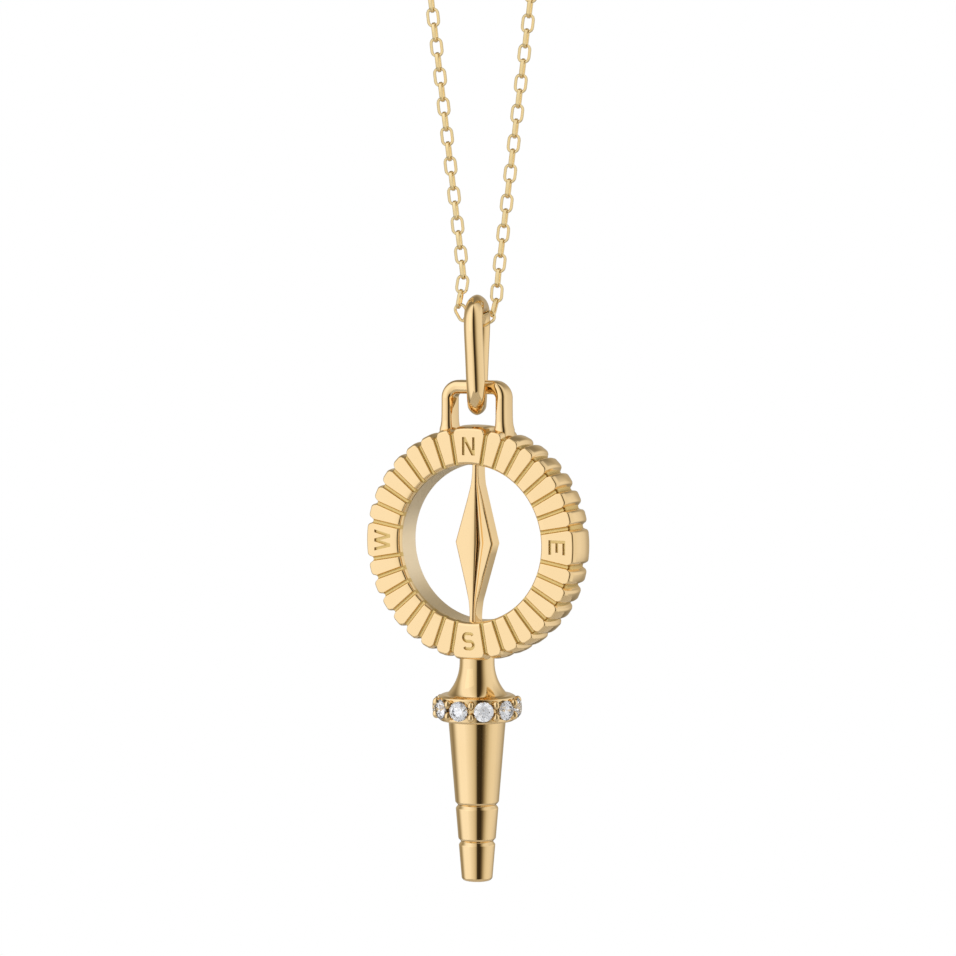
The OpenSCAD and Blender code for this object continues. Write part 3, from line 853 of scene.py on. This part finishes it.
def run_nodes(name, tree, values, base):
    """Runs a tree on a base object and leaves its result as that object's plain mesh."""
    step = base.modifiers.new(name, "NODES")
    step.node_group = tree
    sockets = {item.name: item.identifier for item in tree.interface.items_tree
               if item.in_out == "INPUT"}
    for label, value in values.items():
        step[sockets[label]] = value
    return baked(base)


def points_with_turns(name, places):
    """A cloud of points with the turn that each copy takes, from a list of matrices."""
    mesh = bpy.data.meshes.new(name)
    mesh.from_pydata([place.translation for place in places], [], [])
    turn = mesh.attributes.new("turn", "FLOAT_VECTOR", "POINT")
    for i, place in enumerate(places):
        turn.data[i].vector = place.to_euler()
    made = bpy.data.objects.new(name, mesh)
    bpy.context.scene.collection.objects.link(made)
    return made


def finish_copies(tree, group_in, shape, material):
    """Ends a tree: a copy of the shape on every point, realized, with its material."""
    turn = add(tree, "GeometryNodeInputNamedAttribute", values={"Name": "turn"},
               data_type="FLOAT_VECTOR")
    copies = add(tree, "GeometryNodeInstanceOnPoints",
                 {"Points": group_in.outputs["Geometry"], "Instance": shape,
                  "Rotation": turn.outputs["Attribute"]})
    real = add(tree, "GeometryNodeRealizeInstances", {"Geometry": copies.outputs["Instances"]})
    dressed = add(tree, "GeometryNodeSetMaterial", {"Geometry": real.outputs["Geometry"]},
                  {"Material": material})
    add(tree, "NodeGroupOutput", {"Geometry": dressed.outputs["Geometry"]})


def bead_tree():
    """A prong with a rounded bead on its end, along +Z from its root."""
    tree, group_in = node_group("bead prongs", {
        "Bead radius": "NodeSocketFloat", "Stem": "NodeSocketFloat"})
    radius, stem_l = group_in.outputs["Bead radius"], group_in.outputs["Stem"]
    half = add(tree, "ShaderNodeMath", {0: stem_l}, {1: 0.5}, operation="MULTIPLY")
    lift = add(tree, "ShaderNodeCombineXYZ", {"Z": half.outputs[0]})
    rod = add(tree, "GeometryNodeMeshCylinder", {"Radius": radius, "Depth": stem_l},
              {"Vertices": BEAD_SIDES})
    rod_up = add(tree, "GeometryNodeTransform",
                 {"Geometry": rod.outputs["Mesh"], "Translation": lift.outputs[0]})
    top = add(tree, "ShaderNodeCombineXYZ", {"Z": stem_l})
    ball = add(tree, "GeometryNodeMeshUVSphere", {"Radius": radius},
               {"Segments": BEAD_SIDES, "Rings": BEAD_RINGS})
    ball_up = add(tree, "GeometryNodeTransform",
                  {"Geometry": ball.outputs["Mesh"], "Translation": top.outputs[0]},
                  {"Scale": BEAD_SCALE})
    both = add(tree, "GeometryNodeJoinGeometry")
    tree.links.new(ball_up.outputs[0], both.inputs[0])
    tree.links.new(rod_up.outputs[0], both.inputs[0])
    finish_copies(tree, group_in, both.outputs[0], POLISHED)
    return tree


def bead_prongs():
    """Two bead prongs between each pair of stones."""
    root = COLLAR_R - ROOT
    places = [
        Matrix.Scale(MM, 4) @ collar_place(i + 0.5, root, STONE_Z + side * BEAD_Z)
        for i in range(STONE_N) for side in (-1, 1)
    ]
    base = points_with_turns("bead_prongs", places)
    made = run_nodes("beads", bead_tree(), {
        "Bead radius": BEAD_R * MM, "Stem": (GIRDLE_R - root) * MM}, base)
    smooth(made, 40)
    return made


# The bail

def swept_wire(name, line, section, material):
    """A closed wire along points close to the Y-Z plane, with its section as (across, outwards)."""
    points = []
    n = len(line)
    for i, (x, y, z) in enumerate(line):
        ay, az = line[(i - 1) % n][1:]
        by, bz = line[(i + 1) % n][1:]
        length = math.hypot(by - ay, bz - az)
        ny, nz = (bz - az) / length, -(by - ay) / length
        for across, out in section:
            points.append((x + across, y + ny * out, z + nz * out))
    faces = grid_faces(n, len(section), wrap_rows=True, wrap_columns=True)
    made = to_object(name, points, faces, [material])
    tidy_normals(made)
    smooth(made, 60)
    return made


def bail():
    """The oval wire loop: round at its ends and all but straight along its sides."""
    top = BAIL_TOP_Z + BAIL_TOP_R
    low = BAIL_LOW_Z - BAIL_LOW_R
    line = []
    for i in range(BAIL_STEPS):
        turn = TAU * i / BAIL_STEPS
        s, c = math.sin(turn), math.cos(turn)
        widen = s if s > 0 else s / BAIL_LOW_EASE
        half_w = (BAIL_TOP_R + BAIL_LOW_R) / 2 + (BAIL_TOP_R - BAIL_LOW_R) * widen
        y = half_w * c * (1 + (BAIL_SWELL if s > 0 else BAIL_LOW_SWELL) * s * s)
        line.append((y * s * math.tan(BAIL_TWIST), y, (top + low) / 2 + (top - low) / 2 * s))
    section = []
    for i in range(BAIL_SIDES):
        s, c = math.sin(TAU * i / BAIL_SIDES), math.cos(TAU * i / BAIL_SIDES)
        ridge = BAIL_RIDGE if c > 0 else 1.0
        section.append((BAIL_WIRE / 2 * math.copysign(abs(s) ** ridge, s),
                        BAIL_WIRE / 2 * math.copysign(abs(c) ** ridge, c)))
    return swept_wire("oval_bail", line, section, POLISHED)


# The chain

def chain_route():
    """The links' route as (x, z), finely stepped from the right eye round to the left one.

    It is the tube's middle line, but its turn is wider and its strands are shifted.
    """
    turn_r = BAIL_WIRE / 2 + CHAIN_GAP + CHAIN_W / 2
    slope = math.tan(STRAND_ANGLE)
    # The top arc is as wide as the whole loop's length makes it
    top_r = ((CHAIN_LENGTH + 2 * turn_r / slope - turn_r * (math.pi - 2 * STRAND_ANGLE))
             / (2 / slope + math.pi + 2 * STRAND_ANGLE))
    top_z = CLASP_D / 2 - math.sqrt(top_r ** 2 - EYE_X ** 2)
    turn_z = top_z - (top_r - turn_r) / math.sin(STRAND_ANGLE)
    normal = math.pi / 2 + STRAND_ANGLE
    start = math.asin(EYE_X / top_r)

    def on(r, z, a):
        return (r * math.sin(a), z + r * math.cos(a))

    def hung(x, z):
        near = min(1.0, max(0.0, (z - turn_z + SHIFT_START) / SHIFT_RISE))
        far = min(1.0, max(0.0, (z - top_z) / (SHIFT_FADE * (turn_z - top_z))))
        return (x + (LEFT_SHIFT if x < 0 else RIGHT_SHIFT) * near * far, z)

    half = [on(top_r, top_z, start + (normal - start) * i / TOP_STEPS) for i in range(TOP_STEPS + 1)]
    low = [on(turn_r + LINK_ROOM, turn_z, normal + (TAU - 2 * normal) * i / TURN_STEPS)
           for i in range(TURN_STEPS + 1)]
    (from_x, from_z), (to_x, to_z) = half[-1], low[0]
    for i in range(1, STRAND_STEPS):
        half.append((from_x + (to_x - from_x) * i / STRAND_STEPS,
                     from_z + (to_z - from_z) * i / STRAND_STEPS))
    return [hung(x, z) for x, z in half + low + [(-x, z) for x, z in reversed(half)]]


def link_joints(route):
    """Where links meet: even steps on each strand and on the turn, from the right eye to the left.

    The strands have an odd number of links and the turn an even one.
    """
    line = [Vector(p) for p in route]
    # The length run at each point. A point's y is its height
    run = [0.0]
    for a, b in zip(line, line[1:]):
        run.append(run[-1] + (b - a).length)
    right = next(i for i, p in enumerate(line) if p.y < RIGHT_JOINT_Z)
    left = next(i for i in range(len(line) - 1, 0, -1) if line[i].y < LEFT_JOINT_Z)
    marks = [0.0, run[right], run[left], run[-1]]
    stops = [0.0]
    for start, end, parity in zip(marks, marks[1:], (1, 0, 1)):
        count = 2 * round((end - start) / LINK_PITCH / 2 - parity / 2) + parity
        stops += [start + (end - start) * (i + 1) / count for i in range(count)]
    joints = []
    at = 0
    for stop in stops:
        while at < len(run) - 2 and run[at + 1] < stop:
            at += 1
        joints.append(line[at].lerp(line[at + 1], (stop - run[at]) / (run[at + 1] - run[at])))
    return joints


def link_tree():
    """One oval link of flattened wire, its length along X and lying in X and Y."""
    tree, group_in = node_group("chain links", {
        "Length": "NodeSocketFloat", "Width": "NodeSocketFloat",
        "Wire width": "NodeSocketFloat", "Wire depth": "NodeSocketFloat"})
    out = group_in.outputs
    ends = add(tree, "GeometryNodeCurvePrimitiveQuadrilateral",
               {"Width": out["Length"], "Height": out["Width"]})
    bend = add(tree, "ShaderNodeMath", {0: out["Width"]}, {1: LINK_BEND}, operation="MULTIPLY")
    oval = add(tree, "GeometryNodeFilletCurve",
               {"Curve": ends.outputs["Curve"], "Radius": bend.outputs[0]},
               {"Count": LINK_BEND_STEPS}, mode="POLY")
    flat = add(tree, "GeometryNodeCurvePrimitiveQuadrilateral",
               {"Width": out["Wire width"], "Height": out["Wire depth"]})
    edge = add(tree, "ShaderNodeMath", {0: out["Wire width"]}, {1: WIRE_BEND}, operation="MULTIPLY")
    wire = add(tree, "GeometryNodeFilletCurve",
               {"Curve": flat.outputs["Curve"], "Radius": edge.outputs[0]},
               {"Count": WIRE_BEND_STEPS}, mode="POLY")
    swept = add(tree, "GeometryNodeCurveToMesh",
                {"Curve": oval.outputs[0], "Profile Curve": wire.outputs[0]})
    finish_copies(tree, group_in, swept.outputs[0], CHAIN_GOLD)
    return tree


def cable_chain():
    """Every link of the loop, a quarter turn from its neighbours, with one small turn for them all."""
    joints = link_joints(chain_route())
    places = []
    for i, (a, b) in enumerate(zip(joints, joints[1:])):
        way = (b - a).normalized()
        along = Vector((way.x, 0, way.y))
        side = Vector((0, 1, 0)) if i % 2 else Vector((way.y, 0, -way.x))
        side.rotate(Quaternion(along, LINK_TURN if along.z < 0 else -LINK_TURN))
        up = along.cross(side)
        middle = (a + b) / 2
        place = Matrix((along, side, up)).transposed().to_4x4()
        place.translation = Vector((middle.x, 0, middle.y)) * MM
        places.append(place)
    base = points_with_turns("cable_chain", places)
    length = LINK_PITCH + LINK_WIRE_W
    made = run_nodes("links", link_tree(), {
        "Length": length * MM, "Width": (LINK_W - LINK_WIRE_W) * MM,
        "Wire width": LINK_WIRE_W * MM, "Wire depth": LINK_WIRE_T * MM}, base)
    smooth(made, 35)
    return made


# The studio

def fill_ramp(ramp, stops):
    """Gives a colour ramp its stops, from pairs of a place and a colour."""
    bars = ramp.color_ramp.elements
    while len(bars) < len(stops):
        bars.new(0.5)
    for bar, (place, _) in zip(bars, stops):
        bar.position = place
    for bar, (_, colour) in zip(bars, stops):
        bar.color = colour


def tent_colour(light):
    """The tent is white where it is bright and warm where it is dim."""
    return (light, light * (0.7 + 0.3 * math.sqrt(light)), light * (0.45 + 0.6 * light), 1)


def studio_light():
    """A white light tent: bright all round, with a dark slot just right of the camera.

    The metal sees the tent, the camera plain white, and the stones a share of cool light.
    """
    world = bpy.data.worlds.new("light tent")
    bpy.context.scene.world = world
    world.use_nodes = True
    tree = world.node_tree
    tree.nodes.clear()
    where = add(tree, "ShaderNodeTexCoord")
    axes = add(tree, "ShaderNodeSeparateXYZ", {0: where.outputs["Generated"]})
    front = add(tree, "ShaderNodeMath", {0: axes.outputs["Y"]}, {1: -1.0}, operation="MULTIPLY")
    turn = add(tree, "ShaderNodeMath", {0: axes.outputs["X"], 1: front.outputs[0]}, operation="ARCTAN2")
    round_share = add(tree, "ShaderNodeMapRange", {"Value": turn.outputs[0]},
                      {"From Min": CAMERA_AZIMUTH - math.pi, "From Max": CAMERA_AZIMUTH + math.pi})
    ramp = add(tree, "ShaderNodeValToRGB", {"Fac": round_share.outputs[0]})
    fill_ramp(ramp, [((angle + 180) / 360, tent_colour(light)) for angle, light in TENT_STOPS])
    height = add(tree, "ShaderNodeMapRange", {"Value": axes.outputs["Z"]},
                 {"From Min": -1.0, "From Max": 1.0})
    shade = add(tree, "ShaderNodeValToRGB", {"Fac": height.outputs[0]})
    fill_ramp(shade, [((math.sin(math.radians(angle)) + 1) / 2, (light, light, light, 1))
                      for angle, light in BACK_STOPS])
    from_front = add(tree, "ShaderNodeMath", {0: round_share.outputs[0]}, {1: 0.5},
                     operation="SUBTRACT")
    aside = add(tree, "ShaderNodeMath", {0: from_front.outputs[0]}, operation="ABSOLUTE")
    behind = add(tree, "ShaderNodeMapRange", {"Value": aside.outputs[0]},
                 {"From Min": BACK_FROM / 360, "From Max": BACK_FULL / 360})
    dimmed = add(tree, "ShaderNodeMix",
                 {0: behind.outputs[0], 6: ramp.outputs["Color"], 7: shade.outputs["Color"]},
                 data_type="RGBA", blend_type="MULTIPLY")
    tent = add(tree, "ShaderNodeBackground", {"Color": dimmed.outputs[2]}, {"Strength": 1.0})
    white = add(tree, "ShaderNodeBackground", values={"Color": (1, 1, 1, 1), "Strength": 1.0})
    cool = add(tree, "ShaderNodeBackground",
               values={"Color": linear(STONE_LIGHT), "Strength": STONE_LIGHT_POWER})
    seen = add(tree, "ShaderNodeLightPath")
    in_stones = add(tree, "ShaderNodeMath", {0: seen.outputs["Is Transmission Ray"]},
                    {1: STONE_LIGHT_SHARE}, operation="MULTIPLY")
    lit = add(tree, "ShaderNodeMixShader",
              {0: in_stones.outputs[0], 1: tent.outputs[0], 2: cool.outputs[0]})
    both = add(tree, "ShaderNodeMixShader",
               {0: seen.outputs["Is Camera Ray"], 1: lit.outputs[0], 2: white.outputs[0]})
    add(tree, "ShaderNodeOutputWorld", {"Surface": both.outputs[0]})


def soft_box(name, place, target, size, power):
    """A square white soft box that points at a place, in metres and watts."""
    data = bpy.data.lights.new(name, "AREA")
    data.size = size
    data.energy = power
    made = bpy.data.objects.new(name, data)
    made.location = place
    made.rotation_mode = "QUATERNION"
    made.rotation_quaternion = (Vector(target) - Vector(place)).to_track_quat("-Z", "Y")
    bpy.context.scene.collection.objects.link(made)


def pale_floor():
    """The floor, far below the hanging jewel."""
    made, shader = new_material("matt_white_board")
    shader.inputs["Base Color"].default_value = linear("#F8F8F8")
    shader.inputs["Roughness"].default_value = 0.9
    half, z = FLOOR_HALF_MM, FLOOR_Z_MM
    corners = [(-half, -half, z), (half, -half, z), (half, half, z), (-half, half, z)]
    floor = to_object("floor", corners, [(0, 1, 2, 3)], [made])


def photo_camera():
    """The camera at the photograph's viewing angle."""
    back = Vector((math.sin(CAMERA_AZIMUTH) * math.cos(CAMERA_ELEVATION),
                   -math.cos(CAMERA_AZIMUTH) * math.cos(CAMERA_ELEVATION), math.sin(CAMERA_ELEVATION)))
    data = bpy.data.cameras.new("camera")
    data.lens = LENS_MM
    data.sensor_width = SENSOR_MM
    data.clip_start = CLIP_START_M
    data.clip_end = CLIP_END_M
    made = bpy.data.objects.new("camera", data)
    made.location = (Vector(AIM_MM) + back * CAMERA_DISTANCE_MM) * MM
    made.rotation_mode = "QUATERNION"
    made.rotation_quaternion = (-back).to_track_quat("-Z", "Y")
    bpy.context.scene.collection.objects.link(made)
    bpy.context.scene.camera = made


def belongs(piece, body, slot, *nodes):
    """Ties a piece to its body and to the nodes that it stands for, which it hides; slot is not used.
    """
    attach(piece, body)
    if nodes:
        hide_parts(*nodes)


def main():
    """Sets up the studio, then dresses each body of the frame."""
    photo_camera()
    bpy.context.scene.view_settings.view_transform = "Standard"
    studio_light()
    pale_floor()
    soft_box("key", place=(-0.45, -0.5, 0.1), target=(0, 0, -0.22), size=0.6, power=0.12)

    ring = compass_ring()
    tidy_normals(ring)
    for outline, angle in ((letter_e(), 0), (letter_n(), 90), (letter_w(), 180), (letter_s(), 270)):
        cut(ring, letter_cutter(outline, math.radians(angle)))
    smooth(ring, 32)
    belongs(ring, "pendant", "polished_gold", "pendant_body")
    for piece in (u_loop(), needle(), stem(), bead_prongs()):
        belongs(piece, "pendant", "polished_gold", "pendant_body")
    belongs(bail(), "bail", "polished_gold", "bail")
    belongs(cable_chain(), "chain", "gold_chain", "chain")

    for name, node in frame["nodes"].items():
        if name == "clasp" or name.startswith("stone"):
            node.data.materials.clear()
            node.data.materials.append(POLISHED if name == "clasp" else DIAMOND)


main()
bpy.context.view_layer.update()
